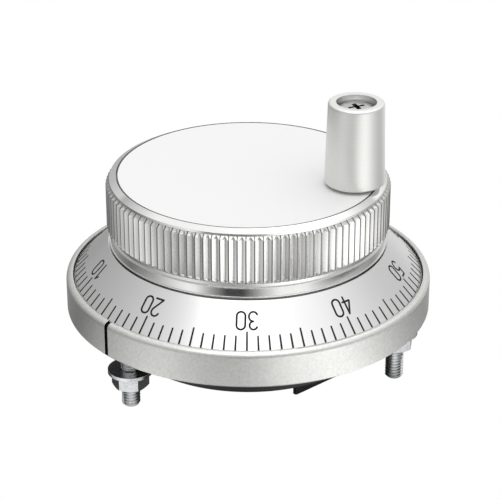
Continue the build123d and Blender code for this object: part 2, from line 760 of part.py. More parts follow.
with BuildPart() as crank_handle:
    bush_seat_r = sleeve_r + run_gap + bush_wall + tight_gap
    with BuildSketch(Plane.XZ) as handle_section:
        with BuildLine():
            Polyline((bush_seat_r, handle_low), (handle_low_r, handle_low), (handle_high_r, handle_high),
                     (well_r, handle_high), (well_r, well_floor), (bush_seat_r, well_floor), close=True)
        make_face()
        chamfer(handle_section.vertices().sort_by(Axis.X)[-1], handle_chamfer)
        fillet(handle_section.vertices().group_by(Axis.Y)[-1].sort_by(Axis.X)[-1], handle_round)
    revolve(handle_section.sketch.moved(Location((*handle_at, 0))), axis=Axis((*handle_at, 0), (0, 0, 1)))
save(crank_handle, "crank_handle")
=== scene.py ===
# %% [markdown]
# # A pulse generator handwheel
# A machine's operator turns this wheel to move an axis by hand, one click at a time. A bezel bolts
# to the control panel, a graduated dial and a knurled wheel turn in it, and a small crank handle
# spins them quickly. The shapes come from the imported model, so this lesson is about light and
# finish, and about the few pieces that are worth modelling finer than a machine drawing does:
# the threads, the screw in the handle, and the dial's lines and numbers.

# %% Load the model
import json
from math import cos, hypot, pi, radians, sin

import bpy
from mathutils import Matrix, Vector


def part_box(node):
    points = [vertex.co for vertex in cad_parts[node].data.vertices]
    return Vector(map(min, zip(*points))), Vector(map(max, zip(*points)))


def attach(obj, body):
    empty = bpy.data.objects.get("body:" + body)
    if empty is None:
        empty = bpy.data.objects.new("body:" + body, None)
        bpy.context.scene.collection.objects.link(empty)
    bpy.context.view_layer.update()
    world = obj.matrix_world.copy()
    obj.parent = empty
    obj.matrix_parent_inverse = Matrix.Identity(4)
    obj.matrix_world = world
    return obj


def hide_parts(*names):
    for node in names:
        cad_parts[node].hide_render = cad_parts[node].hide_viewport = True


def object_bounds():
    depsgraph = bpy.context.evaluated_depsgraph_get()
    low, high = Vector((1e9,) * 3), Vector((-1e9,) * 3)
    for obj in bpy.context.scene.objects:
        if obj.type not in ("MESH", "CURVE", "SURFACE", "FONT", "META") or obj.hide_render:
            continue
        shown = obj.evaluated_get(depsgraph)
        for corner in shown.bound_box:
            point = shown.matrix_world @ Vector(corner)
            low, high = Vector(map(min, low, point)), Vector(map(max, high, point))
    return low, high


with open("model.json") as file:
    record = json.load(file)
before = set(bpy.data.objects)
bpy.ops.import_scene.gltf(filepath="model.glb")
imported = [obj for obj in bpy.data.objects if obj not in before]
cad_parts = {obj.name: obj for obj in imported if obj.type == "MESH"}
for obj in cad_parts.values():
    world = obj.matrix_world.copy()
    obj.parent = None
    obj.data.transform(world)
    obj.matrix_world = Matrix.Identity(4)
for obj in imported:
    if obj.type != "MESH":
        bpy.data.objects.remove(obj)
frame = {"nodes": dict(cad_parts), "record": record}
nodes = frame["nodes"]
slot_of = {part["node"]: part["material_slot"] for part in frame["record"]["subparts"]}
cad_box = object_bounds()
mm = 0.001
print(len(nodes), "nodes, between", [[round(x / mm, 2) for x in corner] for corner in cad_box])

# %% [markdown]
# ## The camera
# A small product is looked at from well back with a long lens, so that its circles stay round and its
# near side doesn't swell. A camera could be dragged into place in the viewport, but a bearing round
# the wheel's axis, a height in degrees and a distance say plainly where its tripod stands, and can
# be changed one at a time.

# %% Camera
bearing = radians(138.0)
elevation = radians(25.905)
distance = 0.42987
aim = Vector((0, 0, 0.01148))
toward_camera = Vector((cos(elevation) * cos(bearing), cos(elevation) * sin(bearing), sin(elevation)))
bpy.ops.object.camera_add(location=aim + distance * toward_camera)
camera = bpy.context.object
camera.rotation_euler = toward_camera.to_track_quat("Z", "Y").to_euler()
camera.data.lens = 140.8
camera.data.shift_x = 0.0038
camera.data.shift_y = 0.0037
camera.data.clip_start = 0.01
camera.data.clip_end = 20
bpy.context.scene.camera = camera
bpy.context.scene.view_settings.view_transform = "Standard"
print("camera at", [round(x / mm, 1) for x in camera.location])

# %% [markdown]
# ## Colours and nodes
# Colours are written as people pick them, as sRGB hex, but Blender mixes light in linear values, so
# one function turns the first into the second. Materials could be wired by hand in the editor, but a
# function that adds a node with its settings, plain values and links in one call keeps each of them
# down to a few readable lines. A node that is given as an input stands for its first output.


# %% Colour and node helpers
def linear(hex_colour):
    """An sRGB colour such as #C8C8C6 as linear red, green, blue and alpha."""
    parts = [int(hex_colour[place : place + 2], 16) / 255 for place in (1, 3, 5)]
    return [part / 12.92 if part <= 0.04045 else ((part + 0.055) / 1.055) ** 2.4 for part in parts] + [1]


def set_inputs(tree, node, inputs):
    """Give inputs plain values, or link them to other nodes or to those nodes' outputs."""
    for name, value in inputs.items():
        if isinstance(value, bpy.types.Node):
            value = value.outputs[0]
        if isinstance(value, bpy.types.NodeSocket):
            tree.links.new(value, node.inputs[name])
        else:
            node.inputs[name].default_value = value


def add_node(tree, kind, inputs=None, stops=(), **settings):
    """A node of one kind, with its settings and inputs. A ramp's stops are (place, grey) pairs."""
    made = tree.nodes.new("ShaderNode" + kind)
    for name, value in settings.items():
        setattr(made, name, value)
    set_inputs(tree, made, inputs or {})
    if stops:
        marks = made.color_ramp.elements
        while len(marks) < len(stops):
            marks.new(0.5)
        for mark, (place, grey) in zip(marks, stops):
            mark.position, mark.color = place, (grey, grey, grey, 1)
    return made


print("#808080 is", round(linear("#808080")[0], 3), "in linear light")

# %% [markdown]
# ## The studio
# Polished metal has no look of its own: it shows the room. A ready-made picture of a room would do
# for a first look, but a room of plain paper can be fitted to each surface of the wheel, so that is
# the way taken. The ceiling is bright overhead and grey at the horizon, and sheets of paper are
# fanned out on the floor. The cone and the rim look up at the ceiling, and upright walls look down
# at the floor, each at its own distance. A bright curved metal needs something dark to read as
# metal, so there is black paper where the neck and the narrow wall under the rim look in front. The
# camera itself sees only white paper, and from below, clear air.


# %% Round the axis
def round_the_axis(tree, vector):
    """From 0 to 1 once round the axis: 0.5 is the camera's side, and more is to its right."""
    turned = add_node(tree, "Mapping", {"Vector": vector, "Rotation": (0, 0, -bearing)})
    return add_node(tree, "TexGradient", {"Vector": turned}, gradient_type="RADIAL").outputs["Fac"]


def white_to_camera(tree, room_shader):
    """A shader that is plain white paper to the camera and the room to everything else."""
    paper = add_node(tree, "Emission", {"Color": (1, 1, 1, 1)})
    seen = add_node(tree, "LightPath").outputs["Is Camera Ray"]
    return add_node(tree, "MixShader", {"Fac": seen, 1: room_shader, 2: paper})


def multiplied(tree, colour, layers):
    """A colour with layers of grey multiplied over it, each given as (where it lies, its greys)."""
    for where, greys in layers:
        inputs = {"Fac": where, "Color1": colour, "Color2": greys}
        colour = add_node(tree, "MixRGB", inputs, blend_type="MULTIPLY")
    return colour


print("ramps round the axis have their middle at", round(bearing * 180 / pi), "degrees")

# %% Ceiling
world = bpy.data.worlds.new("studio")
bpy.context.scene.world = world
world.use_nodes = True
tree = world.node_tree
tree.nodes.clear()
direction = add_node(tree, "TexCoord").outputs["Generated"]
height = add_node(tree, "SeparateXYZ", {"Vector": direction}).outputs["Z"]
around = round_the_axis(tree, direction)
ceiling = add_node(tree, "ValToRGB", {"Fac": height}, stops=(
    (0.0, 0.46), (0.29, 0.55), (0.62, 0.84), (0.73, 0.94), (0.79, 1.12), (1.0, 1.15)))
sides = add_node(tree, "ValToRGB", {"Fac": around}, stops=(
    (0.0, 0.7), (0.11, 0.59), (0.2, 0.49), (0.33, 0.56), (0.5, 0.56), (0.67, 0.74), (0.82, 0.64),
    (0.9, 0.96), (1.0, 0.7)))
print("ceiling:", len(tree.nodes), "nodes")

# %% Hung sheets
# Two grey sheets hang high up behind the wheel. The rim round the white disc leans outwards, so it
# shows them at its two ends, and turns from white in front to grey there.
hung_left = add_node(tree, "ValToRGB", {"Fac": height}, stops=(
    (0.5, 1.0), (0.54, 0.66), (0.68, 0.86), (0.75, 1.0)))
hung_right = add_node(tree, "ValToRGB", {"Fac": height}, stops=(
    (0.5, 1.0), (0.54, 0.6), (0.62, 0.58), (0.7, 0.65), (0.77, 0.8), (0.82, 1.0)))
at_left = add_node(tree, "ValToRGB", {"Fac": around}, stops=(
    (0.02, 0), (0.04, 1), (0.1, 1), (0.14, 0)))
at_right = add_node(tree, "ValToRGB", {"Fac": around}, stops=(
    (0.86, 0), (0.9, 1), (0.96, 1), (0.98, 0)))
everywhere = 1.0
lit = multiplied(tree, ceiling, [(everywhere, sides), (at_left, hung_left), (at_right, hung_right)])
room = add_node(tree, "Emission", {"Color": lit, "Strength": 1.75})
add_node(tree, "OutputWorld", {"Surface": white_to_camera(tree, room)})
print("the whole ceiling:", len(tree.nodes), "nodes")

# %% Floor
floor_z, floor_r, farthest = cad_box[0].z, 3.0, 150 * mm
bpy.ops.object.select_all(action="DESELECT")
bpy.ops.mesh.primitive_circle_add(vertices=64, radius=floor_r, fill_type="NGON", location=(0, 0, floor_z))
floor = bpy.context.object
floor.name = "floor"
paper_floor = bpy.data.materials.new("white paper floor")
paper_floor.use_nodes = True
tree = paper_floor.node_tree
tree.nodes.clear()
place = add_node(tree, "TexCoord").outputs["Object"]
around = round_the_axis(tree, place)
away = add_node(tree, "VectorMath", {0: place}, operation="LENGTH").outputs["Value"]
reach = add_node(tree, "MapRange", {"Value": away, "From Max": farthest})
print("floor at", round(floor_z / mm, 2), "mm")

# %% Sheets of paper
# A wall shows the floor that lies before it, so what is fanned out round the wheel appears on the
# bezel at the same bearing: dark paper at the far left, white in front and grey to the right.
sheets = add_node(tree, "ValToRGB", {"Fac": around}, stops=(
    (0.0, 0.6), (0.1, 0.35), (0.186, 0.26), (0.236, 0.18), (0.275, 0.32), (0.333, 0.64), (0.385, 0.84),
    (0.447, 0.62), (0.5, 0.66), (0.556, 1.13), (0.614, 1.36), (0.675, 0.84), (0.733, 0.48),
    (0.792, 0.32), (0.88, 0.6)))
print("sheets of paper:", len(sheets.color_ramp.elements), "greys round the floor")

# %% Rings of paper
# Each wall meets the floor at its own distance from the axis: the nuts within 50 mm, the washers up
# to 57, the bezel up to 84, the neck from 85 to 96, the ridges up to 119, the narrow wall under the
# rim up to 125 and the handle beyond. So each but the bezel has a ring of paper of its own. The
# neck's and the narrow wall's are nearly black in front, which draws a fine dark line there. A ring
# is listed by where it lies, as a share of 150 mm, and by its greys round the axis.
rings = {
    "neck": (((0.56, 0), (0.57, 1), (0.635, 1), (0.645, 0)), (
        (0.25, 0.7), (0.3, 0.8), (0.36, 1.2), (0.4, 1.25), (0.43, 0.58), (0.46, 0.08), (0.49, 0.08),
        (0.53, 0.65), (0.56, 0.9), (0.6, 0.8), (0.65, 0.5), (0.7, 0.15))),
    "ridges": (((0.635, 0), (0.645, 1), (0.79, 1), (0.797, 0)), (
        (0.33, 1.0), (0.36, 0.8), (0.4, 1.0), (0.44, 1.2), (0.48, 1.2), (0.53, 1.5), (0.6, 1.7),
        (0.72, 1.75), (0.8, 1.2))),
    # The nuts' ring is nearly black at the sides and behind, a painted shadow of the wheel on the floor,
    # with bright paper in front.
    "nuts": (((0.0, 1), (0.31, 1), (0.33, 0)), (
        (0.35, 0.1), (0.38, 1.3), (0.43, 1.3), (0.48, 0.9), (0.58, 0.9), (0.63, 1.3), (0.67, 1.3),
        (0.7, 0.1))),
    "washers": (((0.32, 0), (0.34, 1), (0.37, 1), (0.38, 0)), (
        (0.34, 1.0), (0.38, 1.6), (0.43, 1.6), (0.47, 1.0), (0.6, 1.0), (0.64, 1.5), (0.68, 1.0))),
    "narrow wall": (((0.79, 0), (0.797, 1), (0.83, 1), (0.84, 0)), (
        (0.38, 1.5), (0.4, 1.0), (0.415, 0.04), (0.53, 0.04), (0.545, 0.7), (0.6, 0.85), (0.68, 1.1))),
    "handle": (((0.83, 0), (0.85, 1)), ((0.7, 1.0), (0.81, 1.75), (0.9, 1.6), (1.0, 1.0))),
}
papers = [[add_node(tree, "ValToRGB", {"Fac": along}, stops=stops)
           for along, stops in zip((reach, around), ring)] for ring in rings.values()]
laid = multiplied(tree, sheets, papers)
print("rings of paper for the", ", ".join(rings))

# %% Light from the floor
# Little light reaches the floor right under the bezel, so a painted shadow darkens the middle of the
# glowing floor.
under = add_node(tree, "ValToRGB", {"Fac": reach}, stops=((0.2, 0.08), (0.24, 1.06)))
lit = add_node(tree, "Emission", {"Color": laid, "Strength": under})
from_below = add_node(tree, "NewGeometry").outputs["Backfacing"]
clear_air = add_node(tree, "BsdfTransparent")
faces = {"Fac": from_below, 1: white_to_camera(tree, lit), 2: clear_air}
add_node(tree, "OutputMaterial", {"Surface": add_node(tree, "MixShader", faces)})
floor.data.materials.append(paper_floor)
print("floor paper:", len(tree.nodes), "nodes")

# %% [markdown]
# ## A black card
# Where the rim turns down towards the camera, its edge sweeps the whole room in a hair's width. A
# black card that stands out in front gives that edge its fine dark line, where a darker ramp would
# darken broad surfaces with it. It is hidden from the camera, as it would be out of the frame.

# %% Card
black_card = bpy.data.materials.new("black card")
black_card.use_nodes = True
tree = black_card.node_tree
set_inputs(tree, tree.nodes["Principled BSDF"], {"Base Color": linear("#1A1A1A"), "Roughness": 0.9})
card_away, card_middle, card_height, card_width = 300 * mm, 40 * mm, 80 * mm, 90 * mm
bpy.ops.object.select_all(action="DESELECT")
bpy.ops.mesh.primitive_plane_add(size=1)
card = bpy.context.object
card.name = "black card"
card.scale = (card_height, card_width, 1)
card.location = (card_away * cos(bearing), card_away * sin(bearing), floor_z + card_middle)
card.rotation_euler = (0, -pi / 2, bearing)
card.data.materials.append(black_card)
card.visible_camera = False
print("card", round(card.location.length, 2), "m in front")

# %% Softbox
# A soft light high over the wheel, a little to the camera's side, whitens what faces up.
bpy.ops.object.light_add(type="AREA", location=(-0.15, 0.2, 0.75))
softbox = bpy.context.object
softbox.name = "overhead softbox"
softbox.rotation_euler = softbox.location.to_track_quat("Z", "Y").to_euler()
softbox.data.size = 0.5
softbox.data.energy = 1.0
print("softbox", round(softbox.location.length, 2), "m away")

# %% [markdown]
# ## Finishes
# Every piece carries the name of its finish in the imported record, so one table from that name to a
# material dresses them all. Each metal starts from its own colour with full metalness, and its
# surface comes from roughness, a very small bump and edges that the Bevel node breaks. Bevelled
# meshes would do the same, but they would change the solids' sizes.


# %% Finish helpers
def new_finish(name):
    """A material, its node tree, its Principled shader and its Object coordinates."""
    material = bpy.data.materials.new(name)
    material.use_nodes = True
    tree = material.node_tree
    return material, tree, tree.nodes["Principled BSDF"], add_node(tree, "TexCoord").outputs["Object"]


def within(tree, value, low, high):
    """1 where a value is from low to high, and 0 elsewhere."""
    over = add_node(tree, "Math", {0: value, 1: low}, operation="GREATER_THAN")
    under = add_node(tree, "Math", {0: value, 1: high}, operation="LESS_THAN")
    return add_node(tree, "Math", {0: over, 1: under}, operation="MULTIPLY")


finishes = {}
bevel_samples = 6
print("finishes wanted:", ", ".join(sorted(set(slot_of.values()))))

# %% [markdown]
# ### Bead-blasted aluminium, the bezel
# Blasting with glass beads leaves small round dents, and the clear anodic film over them clouds the
# grey over a millimetre or so. The wall has no streaks, and light fades slowly round it. An even
# roughness would look like paint, so noise moves the colour, the roughness and a small bump. The
# dents are 0.05 mm, too fine to show, so they are drawn as 0.25 mm. The index mark is filled with
# dark paint, which is picked out by its place on the bezel.

# %% Bezel finish
satin, tree, shader, place = new_finish("bead-blasted anodised aluminium")
bead_size, cloud_size = 0.25 * mm, 0.6 * mm
beads = add_node(tree, "TexNoise", {"Vector": place, "Scale": 1 / bead_size})
cloud = add_node(tree, "TexNoise", {"Vector": place, "Scale": 1 / cloud_size, "Detail": 4.0})
mark_half_width, mark_inner, mark_outer = 0.501 * mm, 38 * mm, 50 * mm
axes = add_node(tree, "SeparateXYZ", {"Vector": place}).outputs
in_width = within(tree, axes["X"], -mark_half_width, mark_half_width)
in_length = within(tree, axes["Y"], mark_inner, mark_outer)
mark = add_node(tree, "Math", {0: in_width, 1: in_length}, operation="MULTIPLY")
greys = {"Fac": cloud, "Color1": linear("#C4C4C1"), "Color2": linear("#EAEAE7")}
painted = {"Fac": mark, "Color1": add_node(tree, "MixRGB", greys), "Color2": linear("#1C1C1C")}
edges = add_node(tree, "Bevel", {"Radius": 0.2 * mm}, samples=bevel_samples)
dents = {"Height": beads, "Distance": 0.005 * mm, "Strength": 1.0, "Normal": edges}
set_inputs(tree, shader, {
    "Metallic": 1.0,
    "Base Color": add_node(tree, "MixRGB", painted),
    "Roughness": add_node(tree, "MapRange", {"Value": beads, "To Min": 0.28, "To Max": 0.4}),
    "Normal": add_node(tree, "Bump", dents),
})
finishes["satin_aluminium"] = satin
print(satin.name, len(tree.nodes), "nodes")

# %% [markdown]
# ### Fine-turned aluminium, the dial
# A fine lathe cut leaves grooves that run round the cone. They spread a highlight across themselves,
# so the dial shows soft fans of light from its centre, as a disc record does. The grooves could be
# bumped, but they are too fine to show one by one, so anisotropy with a tangent round the axis
# spreads the light instead, and a faint noise keeps it from being perfect.

# %% Dial finish
turned_dial, tree, shader, place = new_finish("fine-turned aluminium")
unevenness = add_node(tree, "TexNoise", {"Vector": place, "Scale": 1 / (0.4 * mm)})
edges = add_node(tree, "Bevel", {"Radius": 0.1 * mm}, samples=bevel_samples)
relief = {"Height": unevenness, "Distance": 0.001 * mm, "Strength": 1.0, "Normal": edges}
set_inputs(tree, shader, {
    "Metallic": 1.0,
    "Base Color": linear("#DCDCDC"),
    "Roughness": 0.28,
    "Anisotropic": 0.6,
    "Tangent": add_node(tree, "Tangent", direction_type="RADIAL", axis="Z"),
    "Normal": add_node(tree, "Bump", relief),
})
finishes["dial_aluminium"] = turned_dial
print(turned_dial.name, len(tree.nodes), "nodes")

# %% [markdown]
# ### Bright knurled aluminium, the wheel
# The knurling wheel presses 108 ridges up. Light from one side is painted on each ridge: one flank is
# painted brighter than the other, and a dark line along each crest is a painted reflection. The roots are
# painted darker than the crests, a painted shade in the grooves. The solid has the ridges, so only this
# painted light and shade is drawn, by counting ridges round the axis.
#
# The neck below the ridges and the rim above are turned bright and show the room as a mirror does.
# The ridges and the narrow land under them keep the roll's fine specks. Pressing also rounds a
# ridge. A rounded mesh would take many more faces, so the straight part of each flat flank is shaded
# as if it leaned halfway back to the outside, and the slanted ends are left flat to catch the
# ceiling. The way out is found on the wheel and then turned with it, because a normal is the world's.

# %% One ridge, from crest to crest
ridge_count, ridge_depth, count_starts = 108, 0.76 * mm, 0.18
crest_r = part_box("handwheel")[1].x
bright, tree, shader, place = new_finish("bright knurled aluminium")
flat = add_node(tree, "VectorMath", {0: place, 1: (1, 1, 0)}, operation="MULTIPLY")
radius = add_node(tree, "VectorMath", {0: flat}, operation="LENGTH").outputs["Value"]
# Painted shade: the colour darkens from each crest down to its root.
heights = {"Value": radius, "From Min": crest_r - ridge_depth, "From Max": crest_r, "To Min": 0.3}
shade_to_roots = add_node(tree, "MapRange", heights)
around = add_node(tree, "TexGradient", {"Vector": place}, gradient_type="RADIAL").outputs["Fac"]
count = {0: around, 1: ridge_count, 2: -count_starts}
ridges = add_node(tree, "Math", count, operation="MULTIPLY_ADD")
across = add_node(tree, "Math", {0: ridges}, operation="FRACT")
# Painted light: one flank of each ridge is painted bright and the other a little darker, and a dark line
# along each crest is a painted reflection.
painted_flank_light = add_node(tree, "ValToRGB", {"Fac": across}, stops=(
    (0.0, 0.2), (0.05, 0.25), (0.09, 1.0), (0.46, 1.0), (0.54, 0.9), (0.87, 0.86), (0.92, 0.2)))
painted_root_shade = {"Fac": shade_to_roots, "Color1": linear("#A8A8A5"), "Color2": linear("#F8F8F6")}
painted_ridge_light = multiplied(tree, add_node(tree, "MixRGB", painted_root_shade), [(everywhere, painted_flank_light)])
print("one ridge is", round(2 * pi * crest_r / mm / ridge_count, 2), "mm wide")

# %% Wheel finish
land_low, ridges_low, ridges_high = 17.86 * mm, 18.7 * mm, 29.45 * mm
straight_low, straight_high = 19.5 * mm, 28.7 * mm
level = add_node(tree, "SeparateXYZ", {"Vector": place}).outputs["Z"]
specks = add_node(tree, "TexNoise", {"Vector": place, "Scale": 1 / (0.2 * mm)})
knurled = within(tree, level, ridges_low, ridges_high)
land = within(tree, level, land_low, ridges_low)
uneven = add_node(tree, "Math", {0: knurled, 1: land}, operation="MAXIMUM")
polish = add_node(tree, "MapRange", {"Value": uneven, "To Min": 0.35, "To Max": 1.0})
specked = add_node(tree, "MapRange", {"Value": specks, "To Min": 0.12, "To Max": 0.26})
rough = add_node(tree, "Math", {0: specked, 1: polish}, operation="MULTIPLY")
broken = add_node(tree, "MapRange", {"Value": knurled, "To Min": 0.08 * mm, "To Max": 0.2 * mm})
edges = add_node(tree, "Bevel", {"Radius": broken}, samples=bevel_samples)
relief = {"Height": specks, "Distance": 0.003 * mm, "Strength": 1.0, "Normal": edges}
sharp = add_node(tree, "Bump", relief)
straight = within(tree, level, straight_low, straight_high)
lean = add_node(tree, "MapRange", {"Value": straight, "To Min": 0.0, "To Max": 0.6 / crest_r})
outwards = add_node(tree, "VectorMath", {0: flat, "Scale": lean}, operation="SCALE")
turning = {"vector_type": "VECTOR", "convert_from": "OBJECT", "convert_to": "WORLD"}
outwards = add_node(tree, "VectorTransform", {"Vector": outwards}, **turning)
leaning = add_node(tree, "VectorMath", {0: sharp, 1: outwards}, operation="ADD")
colours = {"Fac": knurled, "Color1": linear("#E4E4E3"), "Color2": painted_ridge_light}
set_inputs(tree, shader, {
    "Metallic": 1.0,
    "Base Color": add_node(tree, "MixRGB", colours),
    "Roughness": rough,
    "Normal": add_node(tree, "VectorMath", {0: leaning}, operation="NORMALIZE"),
})
finishes["knurled_aluminium"] = bright
print(bright.name, len(tree.nodes), "nodes")

# %% [markdown]
# ### Satin-turned aluminium, the handle
# A coarser finishing cut leaves fine lines round the handle and a soft, slightly warm grey. Grooves
# in the mesh would take thousands of faces, so noise that changes only with the height draws them.
# The feed is about 0.1 mm a turn, which is drawn as 0.35 mm so that it shows. The top face and the 0.2 mm
# of side below it are a little brighter.

# %% Handle finish
handle_finish, tree, shader, place = new_finish("satin-turned aluminium")
handle_top, feed, face_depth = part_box("crank_handle")[1].z, 0.35 * mm, 0.2 * mm
level = add_node(tree, "SeparateXYZ", {"Vector": place}).outputs["Z"]
lines = add_node(tree, "TexNoise", {"W": level, "Scale": 1 / feed}, noise_dimensions="1D")
end_face = within(tree, level, handle_top - face_depth, handle_top + mm)
greys = {"Fac": lines, "Color1": linear("#DEDEDB"), "Color2": linear("#E8E8E5")}
colours = {"Fac": end_face, "Color1": add_node(tree, "MixRGB", greys), "Color2": linear("#F2F2F0")}
edges = add_node(tree, "Bevel", {"Radius": 0.25 * mm}, samples=bevel_samples)
relief = {"Height": lines, "Distance": 0.0006 * mm, "Strength": 1.0, "Normal": edges}
set_inputs(tree, shader, {
    "Metallic": 1.0,
    "Base Color": add_node(tree, "MixRGB", colours),
    "Roughness": add_node(tree, "MapRange", {"Value": lines, "To Min": 0.36, "To Max": 0.46}),
    "Normal": add_node(tree, "Bump", relief),
})
finishes["handle_metal"] = handle_finish
print(handle_finish.name, len(tree.nodes), "nodes")

# %% [markdown]
# ### White polycarbonate, the face disc
# The disc is punched from a matt white sheet, and a little noise in its roughness is all that it needs. The
# gap round it could be left to the solids, but it is 0.1 mm, too fine to show, so its shadow is painted as
# a dark grey ring 0.3 mm wide at the disc's edge.

# %% Disc finish
white_face, tree, shader, place = new_finish("white polycarbonate sheet")
specks = add_node(tree, "TexNoise", {"Vector": place, "Scale": 1 / (0.5 * mm)})
flat = add_node(tree, "VectorMath", {0: place, 1: (1, 1, 0)}, operation="MULTIPLY")
radius = add_node(tree, "VectorMath", {0: flat}, operation="LENGTH").outputs["Value"]
disc_r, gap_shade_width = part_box("face_disc")[1].x, 0.3 * mm
# Painted shade: the disc's outer 0.3 mm is dark grey, the shadow in the gap round it.
gap_shade = within(tree, radius, disc_r - gap_shade_width, disc_r + mm)
colours = {"Fac": gap_shade, "Color1": linear("#E8E8E8"), "Color2": linear("#3C3C3C")}
set_inputs(tree, shader, {
    "IOR": 1.58,
    "Base Color": add_node(tree, "MixRGB", colours),
    "Roughness": add_node(tree, "MapRange", {"Value": specks, "To Min": 0.5, "To Max": 0.6}),
})
finishes["white_disc"] = white_face
print(white_face.name, len(tree.nodes), "nodes")

# %% [markdown]
# ### Black moulded plastic
# The rear cover and the terminal strip are ABS, moulded against a spark-eroded tool, which gives a
# fine even grain and a dull black sheen. The grain could be displaced in the mesh, but a bump does
# for something so fine.

# %% Black plastic finish
moulded, tree, shader, place = new_finish("black moulded ABS")
texture = add_node(tree, "TexNoise", {"Vector": place, "Scale": 1 / (0.25 * mm)})
edges = add_node(tree, "Bevel", {"Radius": 0.12 * mm}, samples=bevel_samples)
relief = {"Height": texture, "Distance": 0.01 * mm, "Strength": 1.0, "Normal": edges}
set_inputs(tree, shader, {
    "Base Color": linear("#141416"),
    "IOR": 1.54,
    "Roughness": add_node(tree, "MapRange", {"Value": texture, "To Min": 0.4, "To Max": 0.55}),
    "Normal": add_node(tree, "Bump", relief),
})
finishes["black_plastic"] = moulded
print(moulded.name, len(tree.nodes), "nodes")

# %% [markdown]
# ### Plain metals
# The fasteners, the bearings, the handle's bush, the board's spacers and the magnet differ only in
# their two colours, in how rough they are, and in the size and depth of their grain. Six copies of
# one tree could be kept, but a helper makes them all and leaves each as a line of its own numbers.


# %% Plain metal finishes
def metal_finish(name, colours, roughness, size, depth):
    """A metal whose colour and roughness vary over grains of a size, with a bump of a depth."""
    material, tree, shader, place = new_finish(name)
    grains = add_node(tree, "TexNoise", {"Vector": place, "Scale": 1 / size})
    greys = {"Fac": grains, "Color1": linear(colours[0]), "Color2": linear(colours[1])}
    spread = {"Value": grains, "To Min": roughness[0], "To Max": roughness[1]}
    edges = add_node(tree, "Bevel", {"Radius": 0.1 * mm}, samples=bevel_samples)
    relief = {"Height": grains, "Distance": depth, "Strength": 1.0, "Normal": edges}
    set_inputs(tree, shader, {
        "Metallic": 1.0,
        "Base Color": add_node(tree, "MixRGB", greys),
        "Roughness": add_node(tree, "MapRange", spread),
        "Normal": add_node(tree, "Bump", relief),
    })
    return material


# Bright zinc plate over turned steel is a cool grey mirror. Its crystals are about 0.05 mm and are
# drawn as 0.35 mm, so that they give the flats their sparkle.
zinc = metal_finish("zinc-plated steel", ("#A2A3A5", "#F4F5F6"), (0.1, 0.2), 0.35 * mm, 0.008 * mm)
# Ball bearing rings are ground and lapped, so they are nearly a mirror.
ground = metal_finish("ground bearing steel", ("#CCCCCE", "#D8D8DA"), (0.08, 0.16), 0.5 * mm, 0.0005 * mm)
# Black oxide keeps the grain of the steel below it and only a dull gleam.
oxide = metal_finish("black-oxide steel", ("#2E2E32", "#46464A"), (0.3, 0.42), 0.3 * mm, 0.003 * mm)
# Turned brass is bright and yellow, and dulls a little in clouds as it is handled.
brass = metal_finish("turned brass", ("#CDA650", "#E9C66E"), (0.2, 0.3), 1.2 * mm, 0.001 * mm)
# Sintered bronze is pressed from powder, so it is brown and open-grained.
bronze = metal_finish("sintered bronze", ("#9A7140", "#CFA06A"), (0.38, 0.5), 0.15 * mm, 0.006 * mm)
# Ferrite is a pressed ceramic, dark and nearly matt.
ferrite = metal_finish("sintered ferrite", ("#3C3937", "#5A5755"), (0.5, 0.65), 0.2 * mm, 0.004 * mm)
finishes.update(steel=zinc, ground_steel=ground, dark_steel=oxide)
finishes.update(brass=brass, bronze=bronze, magnet=ferrite)
print("plain metals:", zinc.name, ground.name, oxide.name, brass.name, bronze.name, ferrite.name)

# %% [markdown]
# ### Nylon and circuit board
# The bearings' cages and the emitter's lens are natural nylon, a milky cream that lets a little light
# in and varies over a millimetre or two. The board's solder mask is a green lacquer, smooth over the
# weave of the glass cloth below. Both are hidden inside, so noise in their roughness is enough.

# %% Nylon and board finishes
nylon, tree, shader, place = new_finish("natural moulded nylon")
cloud = add_node(tree, "TexNoise", {"Vector": place, "Scale": 1 / (1.5 * mm)})
set_inputs(tree, shader, {
    "Base Color": linear("#E9E2CF"),
    "IOR": 1.53,
    "Subsurface Weight": 0.1,
    "Roughness": add_node(tree, "MapRange", {"Value": cloud, "To Min": 0.35, "To Max": 0.5}),
})
finishes["nylon"] = nylon
board, tree, shader, place = new_finish("green solder mask on glass epoxy")
weave = add_node(tree, "TexNoise", {"Vector": place, "Scale": 1 / (0.8 * mm)})
set_inputs(tree, shader, {
    "Base Color": linear("#0F5A33"),
    "IOR": 1.55,
    "Roughness": add_node(tree, "MapRange", {"Value": weave, "To Min": 0.25, "To Max": 0.4}),
})
finishes["board"] = board
print(nylon.name, "and", board.name)

# %% Dress the nodes
for name, node in nodes.items():
    for slot in node.material_slots:
        slot.material = finishes[slot_of[name]]
print(len(finishes), "finishes on", len(nodes), "nodes")

# %% [markdown]
# ## Lines from listed points
# Turned and threaded pieces both start as half of their outline. A plane is merged into a single
# vertex, that vertex is extruded from point to point, and the line is spun about an axis. It is the
# quickest way to a lathe's shapes, and the outline stays a short list of sizes.


# %% Draw an outline and spin it
weld = 0.0005 * mm


def draw_outline(name, points):
    """A new object with a line of edges through points, drawn by extruding one vertex along them."""
    bpy.ops.object.select_all(action="DESELECT")
    bpy.ops.mesh.primitive_plane_add(size=mm, location=points[0])
    drawn = bpy.context.object
    drawn.name = name
    bpy.ops.object.transform_apply()
    bpy.ops.object.mode_set(mode="EDIT")
    bpy.ops.mesh.select_all(action="SELECT")
    bpy.ops.mesh.merge(type="CENTER")
    for before, after in zip(points, points[1:]):
        step = [b - a for a, b in zip(before, after)]
        bpy.ops.mesh.extrude_region_move(TRANSFORM_OT_translate={"value": step})
    bpy.ops.object.mode_set(mode="OBJECT")
    return drawn


